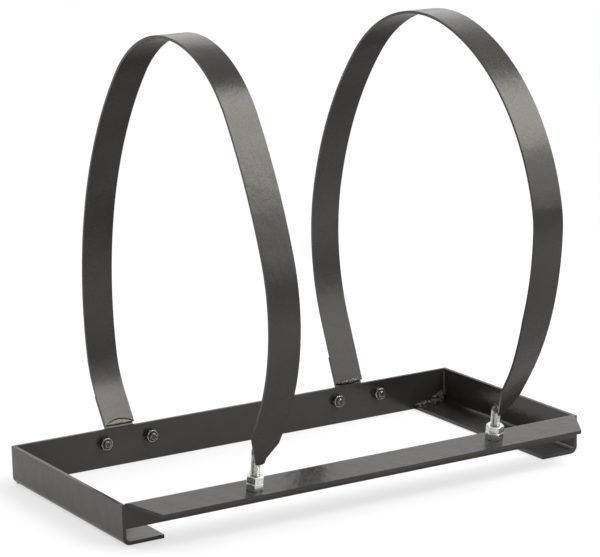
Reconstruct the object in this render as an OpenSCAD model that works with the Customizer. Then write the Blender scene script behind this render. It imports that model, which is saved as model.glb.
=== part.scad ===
// Bracket for a large gas cylinder that lies on its side.
// A welded base frame of folded steel carries two tall straps. Each strap is bolted behind the
// rear rail, runs over the cylinder and is drawn down at the front by a threaded rod.
// X runs along the cylinder, -Y is the front, +Z is up. The origin is the centre of the
// base frame's footprint, on the surface that the frame stands on. Millimetres and degrees.

/* [Base frame] */
// Length over the two end members
base_l = 570; // [480:1:700]
// Depth of the base frame, front to back, without the front flange
base_d = 260; // [252:1:268]
// Height of the end members and of the rear rail
base_h = 43; // [40:1:46]
// Width of the end members' bottom flange
foot_w = 47; // [36:1:70]
// Thickness of the frame's sheet
sheet_t = 4; // [3:0.5:5]
// Inside radius of every fold in the frame
fold_r = 4; // [2.5:0.5:5]

/* [Front rail] */
// How far the rail's folded top stands above the end members
rail_rise = 2.5; // [1:0.5:5]
// Height of the front leg's lower edge above the ground
leg_gap = 17.5; // [10:0.5:24]
// How far the flange reaches in front of the end members
flange_reach = 41; // [38:1:46]
// Slope of the flange, down towards its front edge
flange_droop = 9.5; // [6:0.5:12]
// How far the cut-off corners run in along the flange's front edge
corner_cut = 25; // [10:1:40]

/* [Straps] */
// Distance of the left rod's axis from the frame's left end
left_inset = 139.5; // [100:0.5:200]
// Distance of the right rod's axis from the frame's right end
right_inset = 127; // [100:0.5:200]
// Width of the flat bar
strap_w = 36; // [30:1:42]
// Thickness of the flat bar
strap_t = 3; // [2.5:0.5:4]
// How far each strap's middle lies to the left of its fixings
strap_offset = 4.5; // [0:0.5:6]
// Height of the strap's lower rear end above the rear rail
foot_rise = 1.2; // [0.5:0.1:3]
// Width of the strap's narrow front end
tongue_w = 10; // [8:0.5:14]
// Length of the parallel stretch of the narrow end
tongue_l = 9; // [6:1:12]
// Length of the long slanting cut on the left of the front end
long_cut = 44; // [30:1:48]
// Length of the short slanting cut on the right of the front end
short_cut = 30; // [20:1:40]

/* [Left strap bends] */
// Backward lean of the straight foot
left_foot_lean = 33.5; // [31:0.5:36]
// Length of the straight foot
left_foot_run = 36; // [34:1:40]
// Radius of the rear lower bend
left_heel_r = 112; // [104:1:120]
// Radius of the long rear side
left_back_r = 398; // [370:1:430]
// Centre of the crown, behind the front of the end members
left_crown_y = 97.5; // [92:0.5:103]
// Centre of the crown, above the ground
left_crown_z = 347.5; // [338:0.5:357]
// Radius of the crown
left_crown_r = 147.5; // [142:0.5:153]
// Radius of the long front side
left_front_r = 610; // [570:1:650]
// Radius of the front lower bend
left_toe_r = 202; // [190:1:214]
// Radius of the slight bend above the front end
left_shin_r = 313; // [290:1:340]
// Angle of the slight bend above the front end
left_shin_bend = 6; // [4:0.5:8]
// Length of the straight front end
left_tip_run = 45; // [42:1:50]
// Lean of the straight front end
left_tip_lean = 33.5; // [31:0.5:36]

/* [Right strap bends] */
// Backward lean of the straight foot
right_foot_lean = 22; // [20:0.5:24]
// Length of the straight foot
right_foot_run = 75; // [70:1:80]
// Radius of the rear lower bend
right_heel_r = 257.5; // [245:0.5:270]
// Radius of the long rear side
right_back_r = 384; // [360:1:410]
// Centre of the crown, behind the front of the end members
right_crown_y = 86; // [81:0.5:91]
// Centre of the crown, above the ground
right_crown_z = 320.5; // [312:0.5:329]
// Radius of the crown
right_crown_r = 176; // [170:0.5:182]
// Radius of the long front side
right_front_r = 227.5; // [215:0.5:240]
// Radius of the front lower bend
right_toe_r = 106.5; // [100:0.5:113]
// Radius of the slight bend above the front end
right_shin_r = 323; // [300:1:346]
// Angle of the slight bend above the front end
right_shin_bend = 33; // [31:0.5:35]
// Length of the straight front end
right_tip_run = 54; // [50:1:58]
// Lean of the straight front end
right_tip_lean = 36; // [34:0.5:38]

/* [Foot brackets] */
// Width of the base plate behind the rear rail
plate_w = 86; // [80:1:100]
// Height of the base plate's lower edge above the ground
plate_low = 8; // [2:1:12]
// Height of the base plate's upper edge above the ground
plate_high = 39; // [37:1:40]
// Thickness of the bracket's plate
plate_t = 4; // [3:0.5:5]
// Height at which the left bracket's tab folds back
left_fold_z = 32; // [30:0.5:34]
// Height at which the right bracket's tab folds back
right_fold_z = 21; // [20:0.5:23]
// Height of the tab's end above the rear rail
tab_rise = 30; // [20:1:32]
// How far the tab's sides stay back from the strap's sides
tab_inset = 1; // [1:0.5:4]
// Width of the slits beside the tab
slit_w = 2; // [1:0.5:3]
// Distance between the two bolts of a bracket
bolt_gap = 57; // [57:1:62]
// Height of the bolts above the ground
bolt_z = 28; // [24:0.5:29]

/* [Threaded rods] */
// Diameter of the threaded rods
rod_d = 10; // [8:1:12]
// How far in front of the end members the left rod leaves the flange
left_rod_reach = 25; // [22:0.5:28]
// How far in front of the end members the right rod leaves the flange
right_rod_reach = 19.5; // [18:0.5:24]
// Length of rod above the flange
rod_above = 45; // [40:1:50]
// Length of rod below the flange
rod_below = 6; // [2:0.5:12]
// Distance from the flange up the rod to the strap's end
tip_height = 31; // [27:0.5:34]

/* [Fasteners] */
// Width across the flats of the nuts on the rods
rod_nut_af = 17; // [15:0.5:19]
// Height of the nuts on the rods
rod_nut_h = 8; // [6:0.5:10]
// Turn of the left rod's nuts
left_nut_turn = 1; // [0:1:59]
// Turn of the right rod's nuts
right_nut_turn = 18; // [0:1:59]
// Diameter of the bolts behind the rear rail
bolt_d = 8; // [6:1:8]
// Width across the flats of the bolts' heads and nuts
bolt_af = 13; // [11:0.5:13]
// Height of the bolts' heads
bolt_head_h = 5.3; // [4:0.1:7]
// Height of the bolts' nuts
bolt_nut_h = 6.5; // [5:0.5:8]
// Length of thread that stands out of the bolts' nuts
bolt_end = 2.5; // [1:0.5:5]
// Radial clearance of the bolts and rods in their plain holes
hole_clear = 0.5; // [0.3:0.1:1]
// Radial clearance of the threads in their nuts
thread_clear = 0.05; // [0.02:0.01:0.1]

/* [Hidden] */

// Facets of a full circle: folds, and small rounds
$fn = 96;
small_fn = 64;
// How far cutting shapes run past what they cut
over = 1;
// How far each fold runs on into its neighbours, so that they join
lap = 0.02;
// Largest angle of one flat facet on a strap's bends
facet = 2;

left = -1;
right = 1;
front_y = -base_d / 2;
rear_y = base_d / 2;
inner_l = base_l - 2 * sheet_t;
left_x = base_l / 2 - left_inset;
right_x = base_l / 2 - right_inset;

// Centre of the front rail's fold, and the front rail's mean fold radius
rail_fold = [front_y - fold_r, base_h + rail_rise - fold_r - sheet_t];
flange_top_r = fold_r + sheet_t;
flange_run = (flange_reach - fold_r - flange_top_r * sin(flange_droop)) / cos(flange_droop);

// ---- Points and arcs in the Y-Z plane, as [y, z]; angles run from +Y towards +Z ----

function polar(r, a) = [r * cos(a), r * sin(a)];

// Direction of v, from 0 to 360 degrees for the front half and from -90 at the rear
function direction(v) = let (a = atan2(v[1], v[0])) a < -90 ? a + 360 : a;

// Centre of a circle at distance r1 from c1 and r2 from c2, on the given side of the line c1-c2
function meet(c1, r1, c2, r2, side) =
    let (gap = norm(c2 - c1), u = (c2 - c1) / gap)
    let (along = (gap * gap + r1 * r1 - r2 * r2) / (2 * gap))
    c1 + along * u + side * sqrt(r1 * r1 - along * along) * [-u[1], u[0]];

// Point on top of the front flange at a distance in front of the end members
function flange_point(reach) =
    [front_y - reach,
     rail_fold[1] + flange_top_r * cos(flange_droop)
     - (reach - fold_r - flange_top_r * sin(flange_droop)) * tan(flange_droop)];

// Point on the middle of a bracket's tab, at a height above the ground
function tab_point(fold_z, lean, z) = [rear_y + plate_t / 2 + (z - fold_z) * tan(lean), z];

// Middle of the strap's lower end: on the front of the tab, just above the rear rail
function foot_point(fold_z, lean) =
    let (step = (plate_t + strap_t) / 2)
    tab_point(fold_z, lean, base_h + foot_rise - step * sin(lean)) - step * [cos(lean), -sin(lean)];

// Middle of the strap's front end, whose inner edge touches the front of the rod
function tip_point(reach, lean) =
    flange_point(reach) + tip_height * polar(1, 90 + flange_droop)
    + rod_d / 2 * polar(1, 180 + flange_droop) - strap_t / 2 * polar(1, lean);

// Six arcs of a strap's middle line, rear foot to front end, as [centre, radius, from, to].
// The crown is fixed; the long sides are laid tangent to it and to the lower bends.
function strap_arcs(foot, foot_lean, foot_run, heel_r, back_r, crown, crown_r,
                    front_r, toe_r, shin_r, shin_bend, tip_run, tip_lean, tip) =
    let (heel = foot + foot_run * polar(1, 90 - foot_lean) - heel_r * polar(1, -foot_lean))
    let (back = meet(heel, back_r - heel_r, crown, back_r - crown_r, 1))
    let (shin = tip + tip_run * polar(1, 90 + tip_lean) + shin_r * polar(1, tip_lean))
    let (toe = shin - (shin_r - toe_r) * polar(1, tip_lean - shin_bend))
    let (front = meet(toe, front_r - toe_r, crown, front_r - crown_r, -1))
    let (a1 = direction(heel - back), a2 = direction(crown - back))
    let (a3 = direction(crown - front), a4 = direction(toe - front))
    let (a5 = 180 + tip_lean - shin_bend)
    [[heel, heel_r, -foot_lean, a1], [back, back_r, a1, a2], [crown, crown_r, a2, a3],
     [front, front_r, a3, a4], [toe, toe_r, a4, a5], [shin, shin_r, a5, 180 + tip_lean]];

// Points along one arc at an offset from its middle line, without its last point
function arc_points(arc, offset) =
    let (count = ceil((arc[3] - arc[2]) / facet))
    [for (i = [0 : count - 1])
        arc[0] + polar(arc[1] + offset, arc[2] + (arc[3] - arc[2]) * i / count)];

// One edge of a strap's profile, from its rear foot to its front end
function strap_edge(foot, foot_lean, arcs, tip, tip_lean, tip_run, offset) =
    concat([foot + polar(offset, -foot_lean)],
           [for (arc = arcs) each arc_points(arc, offset)],
           [tip + tip_run * polar(1, 90 + tip_lean) + polar(offset, 180 + tip_lean)],
           [tip + polar(offset, 180 + tip_lean)]);

left_foot = foot_point(left_fold_z, left_foot_lean);
right_foot = foot_point(right_fold_z, right_foot_lean);
left_tip = tip_point(left_rod_reach, left_tip_lean);
right_tip = tip_point(right_rod_reach, right_tip_lean);

left_arcs = strap_arcs(left_foot, left_foot_lean, left_foot_run, left_heel_r, left_back_r,
                       [front_y + left_crown_y, left_crown_z], left_crown_r,
                       left_front_r, left_toe_r, left_shin_r, left_shin_bend,
                       left_tip_run, left_tip_lean, left_tip);
right_arcs = strap_arcs(right_foot, right_foot_lean, right_foot_run, right_heel_r, right_back_r,
                        [front_y + right_crown_y, right_crown_z], right_crown_r,
                        right_front_r, right_toe_r, right_shin_r, right_shin_bend,
                        right_tip_run, right_tip_lean, right_tip);

// ---- Shapes that repeat ----

// Sector of a ring: a fold of the given mean radius, from one angle to another
module bend(radius, thick, from, to) {
    reach = 2 * (radius + thick);
    lap_angle = lap / radius * 180 / PI;
    start = from - lap_angle;
    half = (to - from) / 2 + lap_angle;
    intersection() {
        difference() {
            circle(r = radius + thick / 2);
            circle(r = radius - thick / 2);
        }
        polygon([[0, 0], polar(reach, start), polar(reach / cos(half), start + half),
                 polar(reach, start + 2 * half)]);
    }
}

// Straight run of sheet: starts with its middle at a point and heads in a direction
module run(start, heading, length, thick) {
    translate(start) rotate(heading) translate([0, -thick / 2]) square([length, thick]);
}

// Gives a profile drawn in the Y-Z plane its width along X
module along_x(width) {
    rotate([90, 0, 90]) linear_extrude(height = width, center = true) children();
}

// Stands children on top of the front flange, with their Z along the rod's axis
module on_flange(x, reach) {
    p = flange_point(reach);
    translate([x, p[0], p[1]]) rotate([flange_droop, 0, 0]) children();
}

// Puts children on the rear rail's rear face, with their Z pointing to the rear
module behind_rail(x, z) {
    translate([x, rear_y, z]) rotate([-90, 0, 0]) children();
}

// Hexagonal prism with its corners turned off at both ends, or at the outer end only
module hexagon(af, height, both_ends) {
    corner_r = af / sqrt(3);
    bevel = (corner_r - af / 2 * 0.97) * tan(30);
    low = both_ends ? bevel : 0;
    intersection() {
        cylinder(r = corner_r, h = height, $fn = 6);
        rotate_extrude($fn = small_fn)
            polygon([[0, 0], [corner_r - low / tan(30), 0], [corner_r, low],
                     [corner_r, height - bevel], [corner_r - bevel / tan(30), height], [0, height]]);
    }
}

// Hexagonal nut standing on Z = 0
module nut(af, height, thread_d) {
    difference() {
        hexagon(af, height, true);
        translate([0, 0, -over])
            cylinder(r = thread_d / 2 + thread_clear, h = height + 2 * over, $fn = small_fn);
    }
}

// Rod along Z with its ends turned to a point
module stud(d, low, high) {
    point = d / 10;
    rotate_extrude($fn = small_fn)
        polygon([[0, low], [d / 2 - point, low], [d / 2, low + point],
                 [d / 2, high - point], [d / 2 - point, high], [0, high]]);
}

// ---- Base frame ----

// Folded angle: upright leg outside, flat flange inside, flange notched for the rear rail
module end_member(side) {
    outer_x = base_l / 2;
    fold = [outer_x - sheet_t - fold_r, sheet_t + fold_r];
    mean_r = fold_r + sheet_t / 2;
    color("#2c2a27") mirror([side == left ? 1 : 0, 0, 0]) difference() {
        rotate([90, 0, 0]) linear_extrude(height = base_d, center = true) {
            run([outer_x - sheet_t / 2, fold[1]], 90, base_h - fold[1], sheet_t);
            translate(fold) bend(mean_r, sheet_t, -90, 0);
            run([outer_x - foot_w, sheet_t / 2], 0, fold[0] - outer_x + foot_w, sheet_t);
        }
        translate([outer_x - foot_w - over, rear_y - sheet_t, -over])
            cube([foot_w - sheet_t + over, sheet_t + over, base_h + 2 * over]);
    }
}

module left_end_member() { end_member(left); }
module right_end_member() { end_member(right); }

// Flat bar on edge between the end members, drilled for the brackets' bolts
module rear_rail() {
    color("#2c2a27") difference() {
        translate([-inner_l / 2, rear_y - sheet_t, 0]) cube([inner_l, sheet_t, base_h]);
        for (x = [-left_x, right_x], end = [left, right])
            behind_rail(x + end * bolt_gap / 2, bolt_z) translate([0, 0, -sheet_t - over])
                cylinder(r = bolt_d / 2 + hole_clear, h = sheet_t + 2 * over, $fn = small_fn);
    }
}

// Cuts a corner off the front flange
module corner_cutter(side) {
    wall_x = inner_l / 2;
    mirror([side == left ? 1 : 0, 0, 0]) linear_extrude(height = base_h + rail_rise + over)
        polygon([[wall_x, front_y], [base_l / 2 - corner_cut, front_y - flange_reach],
                 [base_l / 2 - corner_cut, front_y - flange_reach - over],
                 [wall_x + over, front_y - flange_reach - over], [wall_x + over, front_y]]);
}

// Folded angle: upright leg between the end members, drooping flange in front
module front_rail() {
    mean_r = fold_r + sheet_t / 2;
    color("#3a3833") difference() {
        along_x(inner_l) {
            run([front_y + sheet_t / 2, leg_gap], 90, rail_fold[1] - leg_gap, sheet_t);
            translate(rail_fold) bend(mean_r, sheet_t, 0, 90 + flange_droop);
            run(rail_fold + polar(mean_r, 90 + flange_droop), 180 + flange_droop,
                flange_run, sheet_t);
        }
        for (side = [left, right]) corner_cutter(side);
        on_flange(-left_x, left_rod_reach) rod_hole();
        on_flange(right_x, right_rod_reach) rod_hole();
    }
}

module rod_hole() {
    translate([0, 0, -sheet_t - over])
        cylinder(r = rod_d / 2 + hole_clear, h = sheet_t + 2 * over, $fn = small_fn);
}

// ---- Straps ----

// What is cut away beside the narrow front end; X across the strap, Y up it from its end
module tip_waste() {
    tongue_left = strap_offset - tongue_w / 2;
    tongue_right = strap_offset + tongue_w / 2;
    edge = strap_w / 2;
    long_slope = long_cut / (edge + tongue_left);
    short_slope = (short_cut - tongue_l) / (edge - tongue_right);
    polygon([[-edge - over, -over], [tongue_left + over / long_slope, -over],
             [-edge - over, long_cut + over * long_slope]]);
    polygon([[edge + over, -over], [tongue_right, -over], [tongue_right, tongue_l],
             [edge + over, short_cut + over * short_slope]]);
}

// Flat bar bent to a tall loop, narrowed at its front end
module strap(x, foot, foot_lean, arcs, tip, tip_lean, tip_run) {
    cut_depth = 4 * strap_t;
    outer = strap_edge(foot, foot_lean, arcs, tip, tip_lean, tip_run, strap_t / 2);
    inner = strap_edge(foot, foot_lean, arcs, tip, tip_lean, tip_run, -strap_t / 2);
    color("#34312d") translate([x - strap_offset, 0, 0]) difference() {
        along_x(strap_w)
            polygon(concat(outer, [for (i = [len(inner) - 1 : -1 : 0]) inner[i]]));
        translate([0, tip[0], tip[1]]) rotate([90 + tip_lean, 0, 0])
            linear_extrude(height = cut_depth, center = true) tip_waste();
    }
}

module left_strap() {
    strap(-left_x, left_foot, left_foot_lean, left_arcs, left_tip, left_tip_lean, left_tip_run);
}

module right_strap() {
    strap(right_x, right_foot, right_foot_lean, right_arcs,
          right_tip, right_tip_lean, right_tip_run);
}

// ---- Foot brackets ----

// Plate bolted behind the rear rail; a tab between two slits folds back behind the strap
module foot_bracket(x, fold_z, lean) {
    mean_r = fold_r + plate_t / 2;
    bend_z = fold_z - mean_r * tan(lean / 2);
    bend_centre = [rear_y + plate_t + fold_r, bend_z];
    tab_start = bend_centre + polar(mean_r, 180 - lean);
    tab_length = (base_h + tab_rise - tab_start[1]) / cos(lean);
    tab_w = strap_w - 2 * tab_inset;
    wing_x = strap_offset + tab_w / 2 + slit_w;
    wing_w = plate_w / 2 - wing_x;
    color("#2a2825") difference() {
        union() {
            translate([x - strap_offset, 0, 0]) along_x(tab_w) {
                run([rear_y + plate_t / 2, plate_low], 90, bend_z - plate_low, plate_t);
                translate(bend_centre) bend(mean_r, plate_t, 180 - lean, 180);
                run(tab_start, 90 - lean, tab_length, plate_t);
            }
            translate([x - plate_w / 2, rear_y, plate_low])
                cube([plate_w, plate_t, bend_z - plate_low]);
            translate([x - plate_w / 2, rear_y, plate_low])
                cube([wing_w, plate_t, plate_high - plate_low]);
            translate([x + plate_w / 2 - wing_w, rear_y, plate_low])
                cube([wing_w, plate_t, plate_high - plate_low]);
        }
        for (end = [left, right])
            behind_rail(x + end * bolt_gap / 2, bolt_z) translate([0, 0, -over])
                cylinder(r = bolt_d / 2 + hole_clear, h = plate_t + 2 * over, $fn = small_fn);
    }
}

module left_foot_bracket() { foot_bracket(-left_x, left_fold_z, left_foot_lean); }
module right_foot_bracket() { foot_bracket(right_x, right_fold_z, right_foot_lean); }

// ---- Threaded rods and their nuts ----

module rod(x, reach) {
    color("#b9bbb0") on_flange(x, reach) stud(rod_d, -sheet_t - rod_below, rod_above);
}

module rod_nut(x, reach, turn, level) {
    color("#c4c6bb") on_flange(x, reach) translate([0, 0, level * rod_nut_h]) rotate(turn)
        nut(rod_nut_af, rod_nut_h, rod_d);
}

module left_rod() { rod(-left_x, left_rod_reach); }
module right_rod() { rod(right_x, right_rod_reach); }
module left_lower_nut() { rod_nut(-left_x, left_rod_reach, left_nut_turn, 0); }
module left_upper_nut() { rod_nut(-left_x, left_rod_reach, left_nut_turn, 1); }
module right_lower_nut() { rod_nut(right_x, right_rod_reach, right_nut_turn, 0); }
module right_upper_nut() { rod_nut(right_x, right_rod_reach, right_nut_turn, 1); }

// ---- Bolts behind the rear rail, with their nuts inside ----

// Hexagon-headed bolt pushed in from the rear
module bolt(x) {
    color("#2f2d2a") behind_rail(x, bolt_z) {
        translate([0, 0, plate_t]) rotate(30) hexagon(bolt_af, bolt_head_h, false);
        stud(bolt_d, -sheet_t - bolt_nut_h - bolt_end, plate_t + bolt_head_h / 2);
    }
}

module bolt_nut(x) {
    color("#2f2d2a") behind_rail(x, bolt_z) translate([0, 0, -sheet_t - bolt_nut_h])
        nut(bolt_af, bolt_nut_h, bolt_d);
}

module left_outer_bolt() { bolt(-left_x - bolt_gap / 2); }
module left_inner_bolt() { bolt(-left_x + bolt_gap / 2); }
module right_inner_bolt() { bolt(right_x - bolt_gap / 2); }
module right_outer_bolt() { bolt(right_x + bolt_gap / 2); }
module left_outer_bolt_nut() { bolt_nut(-left_x - bolt_gap / 2); }
module left_inner_bolt_nut() { bolt_nut(-left_x + bolt_gap / 2); }
module right_inner_bolt_nut() { bolt_nut(right_x - bolt_gap / 2); }
module right_outer_bolt_nut() { bolt_nut(right_x + bolt_gap / 2); }

left_end_member();
right_end_member();
rear_rail();
front_rail();
left_strap();
right_strap();
left_foot_bracket();
right_foot_bracket();
left_rod();
right_rod();
left_lower_nut();
left_upper_nut();
right_lower_nut();
right_upper_nut();
left_outer_bolt();
left_inner_bolt();
right_inner_bolt();
right_outer_bolt();
left_outer_bolt_nut();
left_inner_bolt_nut();
right_inner_bolt_nut();
right_outer_bolt_nut();
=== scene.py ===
"""The looks of the gas cylinder bracket: painted steel, zinc rods and nuts, welds, studio."""

import math

import bmesh
import bpy
from mathutils import Matrix, Vector, noise


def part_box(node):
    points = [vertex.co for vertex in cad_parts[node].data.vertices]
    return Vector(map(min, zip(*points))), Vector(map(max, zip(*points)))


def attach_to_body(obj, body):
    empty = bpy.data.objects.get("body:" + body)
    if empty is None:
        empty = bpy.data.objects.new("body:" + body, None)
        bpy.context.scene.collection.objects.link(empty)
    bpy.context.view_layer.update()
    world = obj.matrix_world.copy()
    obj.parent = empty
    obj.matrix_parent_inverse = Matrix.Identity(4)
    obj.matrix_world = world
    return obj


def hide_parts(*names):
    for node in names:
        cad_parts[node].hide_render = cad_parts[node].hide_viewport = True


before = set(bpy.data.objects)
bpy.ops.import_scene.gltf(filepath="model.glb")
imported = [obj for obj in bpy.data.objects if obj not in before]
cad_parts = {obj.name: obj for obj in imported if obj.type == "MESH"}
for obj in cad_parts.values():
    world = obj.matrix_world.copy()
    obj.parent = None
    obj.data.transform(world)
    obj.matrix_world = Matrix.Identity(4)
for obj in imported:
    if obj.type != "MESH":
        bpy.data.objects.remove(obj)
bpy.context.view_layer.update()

MM = 0.001

# ---- The camera of the photograph, and the picture's size in pixels ----
PICTURE_W = 600
FOCAL_PX = 2597.0
SENSOR_MM = 36.0
CAMERA_AT = (-1.4095, -2.3610, 0.8359)
CAMERA_AZIMUTH = -30.97
CAMERA_ELEVATION = 12.74
CAMERA_ROLL = -1.28

# ---- Sizes that the welds and threads take from the part, in millimetres ----
FLANGE_DROOP = 9.5
SHEET = 4.0
ROD_D = 10.0
ROD_PITCH = 1.5
ROD_POINT = 1.0
STRAP_W = 36.0
STRAP_T = 3.0
STRAP_OFFSET = 4.5
RAIL_TOP = 43.0
REAR_Y = 130.0
INNER_X = 281.0
FOOT_Z = 44.2
# Each strap: x of its rod, then y and backward lean of its foot, then y, z and lean of its tip,
# the arch in its foot, the fall towards the right of the paint's lower edge on its rod, and how
# much shorter than the solid the rod is drawn, so that it ends behind the twisted strap
STRAPS = {
    "left": dict(x=-145.5, foot_y=135.88, foot_lean=33.5, tip=(-166.3, 71.02), tip_lean=33.5,
                 arch=6.0, paint_fall=1.6, rod_cut=0.0),
    "right": dict(x=158.0, foot_y=137.6, foot_lean=22.0, tip=(-160.76, 71.89), tip_lean=36.0,
                  arch=0.0, paint_fall=0.6, rod_cut=9.0),
}

DROOP = math.radians(FLANGE_DROOP)
ROD_AXIS = Vector((0, -math.sin(DROOP), math.cos(DROOP)))

PAINTED_FRAME = ("left_end_member", "right_end_member", "rear_rail", "front_rail")
BRACKETS = ("left_foot_bracket", "right_foot_bracket")
ROD_NUTS = ("left_lower_nut", "left_upper_nut", "right_lower_nut", "right_upper_nut")
BOLTS = ("left_outer_bolt", "left_inner_bolt", "right_inner_bolt", "right_outer_bolt")


# ---- Materials ----

class Nodes:
    """Short calls for building one material's or world's node tree."""

    def __init__(self, tree):
        self.tree = tree
        tree.nodes.clear()

    def add(self, kind, **values):
        node = self.tree.nodes.new(kind)
        for name, value in values.items():
            setattr(node, name, value)
        return node

    def link(self, source, target):
        self.tree.links.new(source, target)

    def coordinates(self):
        return self.add("ShaderNodeTexCoord").outputs["Object"]

    def axis(self, vector, name):
        """One of a vector's three numbers, by its letter."""
        split = self.add("ShaderNodeSeparateXYZ")
        self.link(vector, split.inputs["Vector"])
        return split.outputs[name]

    def noise(self, scale, detail=2.0):
        """Noise over the surface; scale counts its grains in a metre."""
        node = self.add("ShaderNodeTexNoise")
        node.inputs["Scale"].default_value = scale
        node.inputs["Detail"].default_value = detail
        node.inputs["Roughness"].default_value = 0.5
        self.link(self.coordinates(), node.inputs["Vector"])
        return node.outputs["Fac"]

    def spread(self, factor, low, high, out_low=0.0, out_high=1.0):
        """Maps a factor's range from low to high onto another, and holds it there."""
        node = self.add("ShaderNodeMapRange")
        for socket, value in zip(("From Min", "From Max", "To Min", "To Max"),
                                 (low, high, out_low, out_high)):
            node.inputs[socket].default_value = value
        self.link(factor, node.inputs["Value"])
        return node.outputs["Result"]

    def math(self, operation, first, second):
        node = self.add("ShaderNodeMath", operation=operation)
        for socket, value in zip(node.inputs, (first, second)):
            if isinstance(value, (int, float)):
                socket.default_value = value
            else:
                self.link(value, socket)
        return node.outputs["Value"]

    def blend(self, factor, first, second):
        """A colour between two, by a factor."""
        node = self.add("ShaderNodeMix", data_type="RGBA")
        self.link(factor, node.inputs["Factor"])
        for socket, value in ((node.inputs[6], first), (node.inputs[7], second)):
            if isinstance(value, tuple):
                socket.default_value = (*value, 1.0)
            else:
                self.link(value, socket)
        return node.outputs[2]

    def bump(self, height, strength, distance, below=None):
        node = self.add("ShaderNodeBump")
        node.inputs["Strength"].default_value = strength
        node.inputs["Distance"].default_value = distance
        self.link(height, node.inputs["Height"])
        if below is not None:
            self.link(below, node.inputs["Normal"])
        return node.outputs["Normal"]

    def principled(self, **values):
        node = self.add("ShaderNodeBsdfPrincipled")
        for name, value in values.items():
            node.inputs[name.replace("_", " ")].default_value = value
        return node

    def surface(self, shader):
        output = self.add("ShaderNodeOutputMaterial")
        self.link(shader.outputs[0], output.inputs["Surface"])


def new_material(name):
    material = bpy.data.materials.new(name)
    material.use_nodes = True
    return material, Nodes(material.node_tree)


PAINT_DARK = (0.0165, 0.0156, 0.0138)
PAINT_LIGHT = (0.0230, 0.0217, 0.0190)
PAINT_SHINE = (1.0, 0.955, 0.86, 1.0)
# The paint's shine on top and underneath, and how far down a face points (the Z of its normal)
# where the one starts to give way and where the other is reached
TOP_SHINE, UNDER_SHINE = 0.40, 0.02
UNDER_FROM, UNDER_FULLY = -0.10, -0.75
ZINC_LIGHT = (0.70, 0.71, 0.66)
ZINC_DARK = (0.44, 0.46, 0.42)
STEEL_WORN = (0.86, 0.84, 0.80)
# Colour of the rod nuts' paler corners, a painted highlight
ZINC_HIGHLIGHT = (0.95, 0.96, 0.93)
# Colour of the welds' paler specks, which are painted highlights
WELD_HIGHLIGHT = (0.17, 0.163, 0.148)
PAINT_GLOSS = 0.20
STRAP_GLOSS = PAINT_GLOSS + 0.04
BOLT_GLOSS = 0.30
# The paint's lower edge on a rod in millimetres: its height above the strap's tip, how far it
# strays to either side of its line, and half of its blur
PAINT_LINE_RISE = 1.5
PAINT_LINE_STRAY = 1.2
PAINT_LINE_BLUR = 0.3


def paint_shader(nodes, gloss, grain=1.0):
    """Black stoving paint: glossy, with orange peel and a slightly uneven colour.

    It is duller where it faces down, as the photo's studio is darker below than this floor.
    """
    shader = nodes.principled(IOR=1.5, Specular_Tint=PAINT_SHINE)
    facing_up = nodes.axis(nodes.add("ShaderNodeNewGeometry").outputs["Normal"], "Z")
    nodes.link(nodes.spread(facing_up, UNDER_FULLY, UNDER_FROM, UNDER_SHINE, TOP_SHINE),
               shader.inputs["Specular IOR Level"])
    cloud = nodes.noise(14, 3.0)
    speck = nodes.noise(420)
    colour = nodes.blend(nodes.spread(cloud, 0.35, 0.65), PAINT_DARK, PAINT_LIGHT)
    nodes.link(colour, shader.inputs["Base Color"])
    uneven = nodes.math("ADD", nodes.spread(cloud, 0.3, 0.7, -0.03, 0.03),
                        nodes.spread(speck, 0.3, 0.7, gloss - 0.03, gloss + 0.05))
    nodes.link(uneven, shader.inputs["Roughness"])
    peel = nodes.bump(nodes.noise(260, 1.5), 0.10 * grain, 1.0 * MM)
    waves = nodes.bump(nodes.noise(45), 0.12 * grain, 4.0 * MM, below=peel)
    nodes.link(waves, shader.inputs["Normal"])
    return shader


def make_paint(name, gloss, grain=1.0):
    material, nodes = new_material(name)
    nodes.surface(paint_shader(nodes, gloss, grain))
    return material


def make_highlighted_weld(name):
    """Paint over a rough weld, with paler specks that are painted highlights."""
    material, nodes = new_material(name)
    shader = nodes.principled(IOR=1.5, Specular_Tint=PAINT_SHINE, Roughness=0.16)
    # One noise makes the weld's real lumps and places its paler specks, which are painted
    # highlights
    lumps_and_highlights = nodes.noise(900, 3.0)
    nodes.link(nodes.blend(nodes.spread(lumps_and_highlights, 0.46, 0.72), PAINT_LIGHT, WELD_HIGHLIGHT),
               shader.inputs["Base Color"])
    nodes.link(nodes.bump(lumps_and_highlights, 0.5, 0.6 * MM), shader.inputs["Normal"])
    nodes.surface(shader)
    return material


def zinc_shader(nodes):
    """Bright zinc plating: pale metal with a fine cloudy grain."""
    shader = nodes.principled(Metallic=1.0)
    cloud = nodes.noise(700, 3.0)
    nodes.link(nodes.blend(nodes.spread(cloud, 0.35, 0.7), ZINC_DARK, ZINC_LIGHT),
               shader.inputs["Base Color"])
    nodes.link(nodes.spread(nodes.noise(1800), 0.3, 0.7, 0.16, 0.34),
               shader.inputs["Roughness"])
    nodes.link(nodes.bump(nodes.noise(1200), 0.15, 0.15 * MM), shader.inputs["Normal"])
    return shader


def make_zinc(name):
    material, nodes = new_material(name)
    nodes.surface(zinc_shader(nodes))
    return material


def make_zinc_highlight(name):
    """The nuts' corners, in a paler, less metallic zinc that is a painted highlight."""
    material, nodes = new_material(name)
    shader = nodes.principled(Metallic=0.7)
    nodes.link(nodes.blend(nodes.noise(900), ZINC_LIGHT, ZINC_HIGHLIGHT),
               shader.inputs["Base Color"])
    nodes.link(nodes.spread(nodes.noise(1500), 0.3, 0.7, 0.28, 0.42), shader.inputs["Roughness"])
    nodes.surface(shader)
    return material


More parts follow.
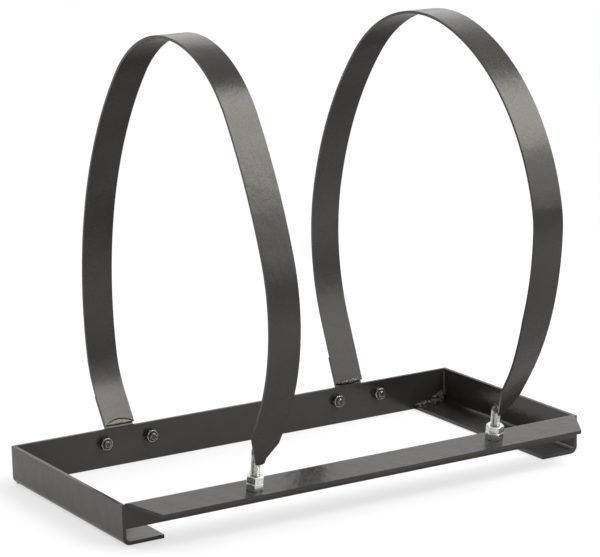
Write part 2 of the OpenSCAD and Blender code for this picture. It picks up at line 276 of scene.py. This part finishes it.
def make_worn_edge(name):
    """The corners of the painted bolts and nuts, where bright steel shows through."""
    material, nodes = new_material(name)
    shader = nodes.principled(Specular_Tint=PAINT_SHINE)
    worn = nodes.spread(nodes.noise(520, 3.0), 0.38, 0.50)
    nodes.link(nodes.blend(worn, PAINT_LIGHT, STEEL_WORN), shader.inputs["Base Color"])
    nodes.link(worn, shader.inputs["Metallic"])
    nodes.link(nodes.spread(nodes.noise(1500), 0.3, 0.7, 0.2, 0.4), shader.inputs["Roughness"])
    nodes.surface(shader)
    return material


def make_dipped_zinc(name, side):
    """Zinc thread, painted over together with the strap down to a slanting, ragged line."""
    material, nodes = new_material(name)
    strap = STRAPS[side]
    place = nodes.coordinates()
    edge_z = (strap["tip"][1] + PAINT_LINE_RISE) * MM
    off_axis = nodes.math("SUBTRACT", nodes.axis(place, "X"), strap["x"] * MM)
    fall = nodes.math("MULTIPLY", off_axis, strap["paint_fall"])
    stray = nodes.spread(nodes.noise(260), 0.0, 1.0, -PAINT_LINE_STRAY * MM, PAINT_LINE_STRAY * MM)
    height = nodes.math("ADD", nodes.math("ADD", nodes.axis(place, "Z"), fall), stray)
    painted = nodes.spread(height, edge_z - PAINT_LINE_BLUR * MM, edge_z + PAINT_LINE_BLUR * MM)
    mix = nodes.add("ShaderNodeMixShader")
    nodes.link(painted, mix.inputs["Fac"])
    nodes.link(zinc_shader(nodes).outputs[0], mix.inputs[1])
    nodes.link(paint_shader(nodes, PAINT_GLOSS).outputs[0], mix.inputs[2])
    nodes.surface(mix)
    return material


frame_paint = make_paint("frame_paint", PAINT_GLOSS)
strap_paint = make_paint("strap_paint", STRAP_GLOSS, grain=0.8)
highlighted_weld_paint = make_highlighted_weld("highlighted_weld_paint")
black_finish = make_paint("bolt_black", BOLT_GLOSS)
worn_edge = make_worn_edge("bolt_worn_edge")
zinc = make_zinc("zinc_plating")
zinc_highlight = make_zinc_highlight("zinc_corners_highlight")


# ---- Helpers for points and values along a line ----

def lerp_list(values, share):
    """Value at a share of the way along a list of evenly spaced values."""
    at = share * (len(values) - 1)
    low = min(int(at), len(values) - 2)
    return values[low] + (values[low + 1] - values[low]) * (at - low)


def point_on(points, share):
    """Point and heading at a share of the way along a polyline."""
    lengths = [(b - a).length for a, b in zip(points, points[1:])]
    left = share * sum(lengths)
    for a, b, length in zip(points, points[1:], lengths):
        if left <= length or b is points[-1]:
            return a + (b - a) * min(1.0, left / length), (b - a).normalized()
        left -= length


# ---- Pieces ----

def add_object(name, bm, materials, sharp_angle=40.0):
    """A mesh object from a bmesh, smooth but for edges sharper than the angle."""
    bmesh.ops.recalc_face_normals(bm, faces=bm.faces)
    for face in bm.faces:
        face.smooth = True
    for edge in bm.edges:
        edge.smooth = edge.is_manifold and edge.calc_face_angle(0) < math.radians(sharp_angle)
    mesh = bpy.data.meshes.new(name)
    bm.to_mesh(mesh)
    bm.free()
    for material in materials:
        mesh.materials.append(material)
    obj = bpy.data.objects.new(name, mesh)
    bpy.context.scene.collection.objects.link(obj)
    return obj


def attach(obj, body, slot, *nodes):
    """Makes a piece ride a body and stand for CAD nodes; its slot is not used."""
    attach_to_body(obj, body)
    if nodes:
        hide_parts(*nodes)
    return obj


def solid_of(node):
    """A CAD node's solid as a clean bmesh, with its flat faces joined up again."""
    bm = bmesh.new()
    bm.from_mesh(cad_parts[node].data)
    bmesh.ops.remove_doubles(bm, verts=bm.verts, dist=0.002 * MM)
    bmesh.ops.dissolve_limit(bm, angle_limit=math.radians(0.3), verts=bm.verts, edges=bm.edges)
    for face in bm.faces:
        face.material_index = 0
    return bm


def rounded(obj, width, edge_material=-1, angle=35.0):
    """Rounds a piece's sharp edges and keeps its flat faces flat."""
    bevel = obj.modifiers.new("rounded_edges", "BEVEL")
    bevel.width = width * MM
    bevel.segments = 3
    bevel.limit_method = "ANGLE"
    bevel.angle_limit = math.radians(angle)
    bevel.material = edge_material
    bevel.use_clamp_overlap = True
    normals = obj.modifiers.new("flat_faces", "WEIGHTED_NORMAL")
    normals.mode = "FACE_AREA"
    normals.keep_sharp = False


def dress(node, materials, slot, body, width, cutters=(), shape=None, **options):
    """A CAD node's solid with rounded edges and its finish, which stands for the node."""
    obj = add_object(node + "_finished", solid_of(node), materials, sharp_angle=180.0)
    if cutters:
        cut(obj, cutters)
    if shape:
        shape(obj.data)
    rounded(obj, width, **options)
    return attach(obj, body, slot, node)


def cut(obj, cutters):
    """Takes the cutters' volumes out of a piece, and the cutters out of the scene."""
    for cutter in cutters:
        step = obj.modifiers.new("cut", "BOOLEAN")
        step.operation = "DIFFERENCE"
        step.solver = "EXACT"
        step.object = cutter
    depsgraph = bpy.context.evaluated_depsgraph_get()
    solid = bpy.data.meshes.new_from_object(obj.evaluated_get(depsgraph))
    obj.modifiers.clear()
    obj.data = solid
    for face in solid.polygons:
        face.use_smooth = True
    for cutter in cutters:
        bpy.data.objects.remove(cutter)


def prism(outline, half_depth, matrix):
    """A straight-sided cutter, whose outline in millimetres is placed by a matrix."""
    bm = bmesh.new()
    verts = [bm.verts.new((x * MM, y * MM, -half_depth * MM)) for x, y in outline]
    face = bm.faces.new(verts)
    side = bmesh.ops.extrude_face_region(bm, geom=[face])
    top = [item for item in side["geom"] if isinstance(item, bmesh.types.BMVert)]
    bmesh.ops.translate(bm, vec=(0, 0, 2 * half_depth * MM), verts=top)
    bm.transform(matrix)
    return add_object("cutter", bm, [], sharp_angle=0.0)


def strap_plane(side, point, heading):
    """World matrix on a strap's middle line; X runs across the strap and Y up it."""
    x = STRAPS[side]["x"] - STRAP_OFFSET
    turn = Matrix.Rotation(math.radians(heading), 4, "X")
    return Matrix.Translation((x * MM, point[0] * MM, point[1] * MM)) @ turn


# The straps' hand-cut ends in millimetres, across and up from the middle of the tip: the shoulder
# above the tongue on the right, the centre of the tongue's rounded right corner and the outside
# of the cut around it, and the slant on the tongue's left
SHOULDER_CUT = ((24, -4), (9.5, -4), (9.5, 15.3), (14.4, 17.8), (20, 61.7), (24, 61.7))
CORNER_AT = (7, 2.5)
CORNER_R = 2.5
CORNER_ANGLES = (-1.31, -0.785, -0.26)
CORNER_CUT_FROM = (6.5, -2)
CORNER_CUT_TO = ((12, 2.1), (12, -2))
SLANT_CUT = ((4.4, -2), (-4.2, 3.86), (-6, -2))
# Half depths of the cuts through a tip and a foot, and of the weld in the foot's arch
TIP_CUT, FOOT_CUT, ARCH_WELD = 8, 3.5, 1.4
# What the arch leaves of a foot's edge on each side, how much smaller its weld is, and how far
# below the foot that weld reaches
ARCH_LEFT = 0.4
ARCH_WELD_INSET = 0.9
ARCH_WELD_LOW = -0.6


def arch_outline(arch, inset=0.0):
    """The round arch in a strap's foot; an inset makes it smaller all round."""
    half = STRAP_W / 2 - ARCH_LEFT
    radius = (half * half + arch * arch) / (2 * arch)
    centre = arch - radius
    angles = [math.radians(a) for a in range(46, 135, 4)]
    radius -= inset
    points = [(radius * math.cos(a), centre + radius * math.sin(a)) for a in angles]
    return [(x, y) for x, y in points if not inset or y > ARCH_WELD_LOW]


def end_cutters(side):
    """Cutters for a strap's ends: the shoulder, the tongue's corners and the foot's arch."""
    strap = STRAPS[side]
    tip = strap_plane(side, strap["tip"], 90 + strap["tip_lean"])
    x, y = CORNER_AT
    arc = [(x + CORNER_R * math.cos(a), y + CORNER_R * math.sin(a)) for a in CORNER_ANGLES]
    outlines = (SHOULDER_CUT, (CORNER_CUT_FROM, *arc, *CORNER_CUT_TO), SLANT_CUT)
    cutters = [prism(outline, TIP_CUT, tip) for outline in outlines]
    if strap["arch"]:
        foot = strap_plane(side, (strap["foot_y"], FOOT_Z), 90 - strap["foot_lean"])
        cutters.append(prism(arch_outline(strap["arch"]), FOOT_CUT, foot))
    return cutters


# How far the right strap's lower front part stands to the right and how many degrees it is
# twisted, from its tip upwards
SWAY = (2.0, 3.6, 3.0, 1.4, 0.0)
TWIST = (9.0, 14.0, 11.0, 5.0, 0.0)
SWAY_LOW, SWAY_HIGH = 72.0, 195.0


def sway(mesh):
    """Bends and twists the right strap's lower front part, all about its middle line."""
    middle = (STRAPS["right"]["x"] - STRAP_OFFSET) * MM
    for vertex in mesh.vertices:
        share = (vertex.co.z / MM - SWAY_LOW) / (SWAY_HIGH - SWAY_LOW)
        if vertex.co.y < 0 and share < 1:
            share = max(0.0, share)
            turn = math.radians(lerp_list(TWIST, share))
            across = vertex.co.x - middle
            vertex.co.x = middle + across * math.cos(turn) + lerp_list(SWAY, share) * MM
            vertex.co.y += across * math.sin(turn)


def chamfer_highlights(mesh):
    """Gives a rod nut's turned-off corners the paler zinc, a painted highlight."""
    for face in mesh.polygons:
        face.material_index = int(0.3 < abs(face.normal.dot(ROD_AXIS)) < 0.95)


def threaded_bar(radius, low, high, pitch, point, columns=48):
    """A bar round Z with a helical 60-degree thread and turned ends, as a closed bmesh."""
    depth = 0.6 * pitch
    # One pitch of the thread's profile: share of the pitch and radius of each corner
    corners = ((0.0, radius), (0.125, radius), (0.5, radius - depth), (0.625, radius - depth))
    rows = int(math.ceil((high - low) / pitch) + 2) * len(corners)
    start = low - pitch
    bm = bmesh.new()
    grid = []
    for row in range(rows + 4):
        share, r = corners[row % 4]
        base = start + pitch * (row // 4 + share) - pitch
        ring = []
        for column in range(columns):
            turn = column / columns
            angle = 2 * math.pi * turn
            z = base + pitch * turn
            ring.append(bm.verts.new((r * math.cos(angle), r * math.sin(angle), z)))
        grid.append(ring)
    for row in range(rows + 3):
        for column in range(columns - 1):
            bm.faces.new((grid[row][column], grid[row][column + 1],
                          grid[row + 1][column + 1], grid[row + 1][column]))
        if row + 5 < rows + 4:
            bm.faces.new((grid[row][columns - 1], grid[row + 4][0],
                          grid[row + 5][0], grid[row + 1][columns - 1]))
    for z, outward in ((low, -1), (high, 1)):
        everything = list(bm.verts) + list(bm.edges) + list(bm.faces)
        sliced = bmesh.ops.bisect_plane(bm, geom=everything, plane_co=(0, 0, z),
                                        plane_no=(0, 0, outward), clear_outer=True)
        rim = [e for e in sliced["geom_cut"] if isinstance(e, bmesh.types.BMEdge)]
        bmesh.ops.edgeloop_fill(bm, edges=rim)
    bmesh.ops.remove_doubles(bm, verts=bm.verts, dist=pitch * 1e-3)
    for vert in bm.verts:
        r = math.hypot(vert.co.x, vert.co.y)
        limit = radius - point + min(vert.co.z - low, high - vert.co.z)
        if r > limit:
            vert.co.x *= limit / r
            vert.co.y *= limit / r
    return bm


def bead(bm, path, radii, seed, roughness=0.18, ripple=2.2, up=Vector((0, 0, 1)), sides=14):
    """Adds one lumpy weld bead along a path of points in millimetres, as a closed tube."""
    points = [Vector(p) for p in path]
    length = sum((b - a).length for a, b in zip(points, points[1:]))
    steps = max(8, int(length / 0.5))
    rings = []
    for step in range(steps + 1):
        share = step / steps
        centre, heading = point_on(points, share)
        round_end = math.sqrt(max(0.0, 1 - (2 * share - 1) ** 8))
        radius = lerp_list(radii, share) * (0.05 + 0.95 * round_end)
        radius *= 1 + 0.06 * math.sin(2 * math.pi * share * length / ripple + seed)
        side = heading.cross(up).normalized()
        top = side.cross(heading).normalized()
        ring = []
        for k in range(sides):
            angle = 2 * math.pi * k / sides
            spot = side * math.cos(angle) + top * math.sin(angle)
            lump = noise.noise((centre + spot * radius) * 0.45 + Vector((seed * 7.3, 0, 0)))
            ring.append(bm.verts.new((centre + spot * radius * (1 + 2 * roughness * lump)) * MM))
        rings.append(ring)
    for a, b in zip(rings, rings[1:]):
        for k in range(sides):
            bm.faces.new((a[k], a[(k + 1) % sides], b[(k + 1) % sides], b[k]))
    bm.faces.new(rings[0][::-1])
    bm.faces.new(rings[-1])


# ---- The painted frame, straps and foot brackets ----

FRAME_ROUND = 0.9
BRACKET_ROUND = 0.5
STRAP_ROUND = 0.6
ROD_NUT_ROUND = 0.4
BOLT_ROUND = 0.35
BOLT_NUT_ROUND = 0.5
NUT_ANGLE = 20.0

for name in PAINTED_FRAME:
    dress(name, [frame_paint], "frame_coating", "bracket", FRAME_ROUND)
for name in BRACKETS:
    dress(name, [strap_paint], "strap_coating", "bracket", BRACKET_ROUND)
for side in STRAPS:
    dress(side + "_strap", [strap_paint], "strap_coating", "bracket", STRAP_ROUND,
          cutters=end_cutters(side), shape=sway if side == "right" else None)

# ---- Nuts and bolts ----

# The rod nuts' rounded edges and chamfers take the paler zinc, a painted highlight
for name in ROD_NUTS:
    dress(name, [zinc, zinc_highlight], "zinc_nut", name, ROD_NUT_ROUND, shape=chamfer_highlights,
          edge_material=1, angle=NUT_ANGLE)
for name in BOLTS:
    for node, width in ((name, BOLT_ROUND), (name + "_nut", BOLT_NUT_ROUND)):
        dress(node, [black_finish, worn_edge], "worn_black", "bracket", width,
              edge_material=1, angle=NUT_ANGLE)


def make_rod(side):
    """A threaded rod, painted black at its upper end, where it is welded behind the strap."""
    low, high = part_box(side + "_rod")
    x = (low.x + high.x) / 2
    # The rod's box holds its length and, on both sides, the radius of its ends
    tilt = ROD_D / 2 * MM * math.sin(DROOP)
    reach = (high.z - low.z - 2 * tilt) / math.cos(DROOP) - STRAPS[side]["rod_cut"] * MM
    length = reach / MM + 2 * ROD_POINT * math.tan(DROOP)
    bm = threaded_bar(ROD_D / 2, 0.0, length, ROD_PITCH, ROD_POINT)
    bmesh.ops.scale(bm, vec=(MM, MM, MM), verts=bm.verts)
    end_r = (ROD_D / 2 - ROD_POINT) * MM
    foot = (x, high.y - end_r * math.cos(DROOP), low.z + end_r * math.sin(DROOP))
    bm.transform(Matrix.Translation(foot) @ Matrix.Rotation(DROOP, 4, "X"))
    finish = make_dipped_zinc(side + "_rod_finish", side)
    obj = add_object(side + "_rod_threaded", bm, [finish], 25.0)
    return attach(obj, "bracket", "zinc_thread", side + "_rod")


for side in STRAPS:
    make_rod(side)

# ---- Welds ----


def foot_weld(side, thick, seed):
    """The bead that joins a strap's lower end to its tab."""
    strap = STRAPS[side]
    lean = math.radians(strap["foot_lean"])
    x = strap["x"] - STRAP_OFFSET
    front = Vector((0, -math.cos(lean), math.sin(lean)))
    foot = Vector((x, strap["foot_y"], RAIL_TOP + 1.6)) + front * (STRAP_T / 2)
    half = STRAP_W / 2 - 1.5
    bm = bmesh.new()
    path = [foot + Vector((share * half, 0, 0)) for share in (-1, -0.5, 0, 0.5, 1)]
    bead(bm, path, thick, seed, roughness=0.10, ripple=3.4)
    obj = add_object(side + "_foot_weld", bm, [highlighted_weld_paint])
    return attach(obj, "bracket", "strap_coating")


foot_weld("right", (1.8, 2.8, 3.0, 2.9, 2.0), 5.7)


def arch_weld(side):
    """The flat weld that fills the arch in a strap's foot, but for a thin line along its top."""
    strap = STRAPS[side]
    foot = strap_plane(side, (strap["foot_y"], FOOT_Z), 90 - strap["foot_lean"])
    obj = prism(arch_outline(strap["arch"], ARCH_WELD_INSET), ARCH_WELD, foot)
    obj.name = side + "_foot_weld"
    obj.data.materials.append(highlighted_weld_paint)
    rounded(obj, 0.5)
    return attach(obj, "bracket", "strap_coating")


arch_weld("left")


def rod_weld(side):
    """Two short beads that join the strap's tip to the front of its rod."""
    strap = STRAPS[side]
    tip = Vector((strap["x"], *strap["tip"]))
    bm = bmesh.new()
    for turn, seed in ((-1, 1.3), (1, 8.2)):
        start = tip + Vector((turn * ROD_D * 0.42, STRAP_T / 2 + 1.2, 0))
        path = [start + ROD_AXIS * 1.0, start + ROD_AXIS * 7.0,
                start + ROD_AXIS * 13.0 + Vector((0, 1.5, 0))]
        bead(bm, path, (1.0, 1.7, 1.2), seed, ripple=2.4, up=Vector((0, 1, 0)))
    obj = add_object(side + "_rod_weld", bm, [highlighted_weld_paint])
    return attach(obj, "bracket", "strap_coating")


for side in STRAPS:
    rod_weld(side)


SPATTER = 9


def corner_welds(name, side, seed):
    """Beads where the rear rail meets an end member: one up, two level, and spatter by them."""

    def at(inward, forward, z):
        return (side * INNER_X - side * inward, REAR_Y - SHEET - forward, z)

    bm = bmesh.new()
    bead(bm, [at(0.6, 0.6, 9), at(0.6, 0.6, RAIL_TOP - 3)],
         (2.6, 1.8, 1.4, 1.6, 2.0), seed, up=Vector((0, 1, 0)))
    bead(bm, [at(43, 0.8, SHEET + 0.6), at(22, 1.0, SHEET + 1.0), at(1.5, 1.2, SHEET + 3.0)],
         (1.6, 2.4, 3.4, 4.6), seed + 2, roughness=0.42, ripple=3.0)
    bead(bm, [at(19, 0.9, SHEET + 6.5), at(2, 1.4, SHEET + 9.5)],
         (1.2, 2.6, 3.4), seed + 4, roughness=0.5, ripple=2.6)
    for k in range(SPATTER):
        aside = noise.noise((k * 3.7, seed, 0.2))
        above = noise.noise((k * 5.1, seed, 4.4))
        spot = Vector(at(16 + 26 * aside, 0, SHEET + 9 + 9 * above))
        size = 0.5 + 0.5 * abs(noise.noise((k * 1.9, seed, 7.7)))
        reach = Vector((size, 0, 0))
        bead(bm, [spot - reach, spot + reach], (size, size), seed + k, sides=8)
    obj = add_object(name, bm, [highlighted_weld_paint])
    return attach(obj, "bracket", "frame_coating")


corner_welds("left_rear_welds", -1, 2.5)
corner_welds("right_rear_welds", 1, 6.5)


def front_welds(name, side, seed):
    """The upright bead behind the front rail, where it meets an end member."""
    bm = bmesh.new()
    x = side * INNER_X - side * 0.6
    y = -REAR_Y + SHEET + 0.6
    bead(bm, [(x, y, 20), (x, y, RAIL_TOP - 2)], (1.6, 2.1, 1.9, 2.2), seed, up=Vector((0, 1, 0)))
    obj = add_object(name, bm, [highlighted_weld_paint])
    return attach(obj, "bracket", "frame_coating")


front_welds("left_front_weld", -1, 11.5)
front_welds("right_front_weld", 1, 13.5)

# ---- The floor and the world, which fade a little towards the camera's side ----

FLOOR_SIZE = 40.0
FLOOR_Z = -0.0005
FLOOR_COLOUR = (0.93, 0.93, 0.93, 1)
BACK_LIGHT = 1.0
FRONT_LIGHT = 0.85
# Where the floor's light has faded and where it starts to, in metres, and the same for the
# world's by direction
FLOOR_FADE = (-2.2, -0.5)
WORLD_FADE = (-0.5, 0.5)
# Share of the floor near the object that is its own light, for other rays and for those that
# see it, and the distances over which that share grows to all of it
GLOW_UNSEEN, GLOW_SEEN = 0.1, 0.6
GLOW_FROM, GLOW_FULLY = 0.6, 1.4


def make_floor():
    """A pale floor that keeps the shadows near the object and glows white further out."""
    material, nodes = new_material("floor_white")
    depth = nodes.axis(nodes.coordinates(), "Y")
    shade = nodes.spread(depth, *FLOOR_FADE, FRONT_LIGHT, BACK_LIGHT)
    diffuse = nodes.add("ShaderNodeBsdfDiffuse")
    diffuse.inputs["Color"].default_value = FLOOR_COLOUR
    glow = nodes.add("ShaderNodeEmission")
    nodes.link(shade, glow.inputs["Strength"])
    length = nodes.add("ShaderNodeVectorMath", operation="LENGTH")
    nodes.link(nodes.coordinates(), length.inputs[0])
    rays = nodes.add("ShaderNodeLightPath").outputs
    seen = nodes.math("MAXIMUM", rays["Is Camera Ray"],
                      nodes.math("MAXIMUM", rays["Is Glossy Ray"], rays["Is Transmission Ray"]))
    near = nodes.spread(seen, 0.0, 1.0, GLOW_UNSEEN, GLOW_SEEN)
    far = nodes.spread(length.outputs["Value"], GLOW_FROM, GLOW_FULLY)
    mix = nodes.add("ShaderNodeMixShader")
    nodes.link(nodes.math("MAXIMUM", near, far), mix.inputs["Fac"])
    nodes.link(diffuse.outputs[0], mix.inputs[1])
    nodes.link(glow.outputs[0], mix.inputs[2])
    nodes.surface(mix)
    bm = bmesh.new()
    bmesh.ops.create_grid(bm, x_segments=4, y_segments=4, size=FLOOR_SIZE / 2)
    floor = add_object("floor", bm, [material])
    floor.location.z = FLOOR_Z


make_floor()


def make_world():
    """Even studio light, dimmer from the camera's side."""
    world = bpy.data.worlds.new("studio")
    world.use_nodes = True
    bpy.context.scene.world = world
    nodes = Nodes(world.node_tree)
    direction = nodes.add("ShaderNodeTexCoord").outputs["Generated"]
    strength = nodes.spread(nodes.axis(direction, "Y"), *WORLD_FADE, FRONT_LIGHT, BACK_LIGHT)
    background = nodes.add("ShaderNodeBackground")
    nodes.link(strength, background.inputs["Strength"])
    output = nodes.add("ShaderNodeOutputWorld")
    nodes.link(background.outputs[0], output.inputs["Surface"])


make_world()

# ---- Lamps and camera ----

LAMP_DISTANCE = 2.4
LOOK_AT = Vector((0.0, 0.0, 0.25))
# Name, azimuth and elevation in degrees, width and height in metres, and radiance
LAMPS = (
    ("key_lamp", 45, 48, 1.5, 1.4, 7.2),
    ("key_skirt", 42, 20, 1.3, 1.0, 2.2),
    ("rim_lamp", -148, 18, 0.9, 1.1, 2.5),
    ("back_lamp", 149, 30, 2.4, 1.3, 0.75),
)


def heading_of(azimuth, elevation):
    """Direction from the object; azimuth 0 is towards the front and positive to the right."""
    a, e = math.radians(azimuth), math.radians(elevation)
    return Vector((math.sin(a) * math.cos(e), -math.cos(a) * math.cos(e), math.sin(e)))


def softbox(name, azimuth, elevation, width, height, radiance):
    """A rectangular studio lamp that looks at the object; radiance 1 would render white."""
    lamp = bpy.data.lights.new(name, "AREA")
    lamp.shape = "RECTANGLE"
    lamp.size = width
    lamp.size_y = height
    lamp.energy = radiance * math.pi * width * height
    obj = bpy.data.objects.new(name, lamp)
    towards = heading_of(azimuth, elevation)
    obj.location = LOOK_AT + towards * LAMP_DISTANCE
    obj.rotation_euler = towards.to_track_quat("Z", "Y").to_euler()
    obj.visible_camera = False
    bpy.context.scene.collection.objects.link(obj)


for lamp in LAMPS:
    softbox(*lamp)


def make_camera():
    """The camera that took the photograph, as solved from the frame's straight edges."""
    back = heading_of(CAMERA_AZIMUTH, CAMERA_ELEVATION)
    right = (-back).cross(Vector((0, 0, 1))).normalized()
    up = right.cross(-back)
    roll = math.radians(CAMERA_ROLL)
    right, up = (math.cos(roll) * right + math.sin(roll) * up,
                 -math.sin(roll) * right + math.cos(roll) * up)
    camera = bpy.data.cameras.new("camera")
    camera.sensor_fit = "HORIZONTAL"
    camera.sensor_width = SENSOR_MM
    camera.lens = FOCAL_PX * SENSOR_MM / PICTURE_W
    camera.clip_end = 50.0
    obj = bpy.data.objects.new("camera", camera)
    rotation = Matrix((right, up, back)).transposed().to_4x4()
    obj.matrix_world = Matrix.Translation(CAMERA_AT) @ rotation
    bpy.context.scene.collection.objects.link(obj)
    bpy.context.scene.camera = obj


make_camera()
bpy.context.scene.view_settings.view_transform = "Standard"
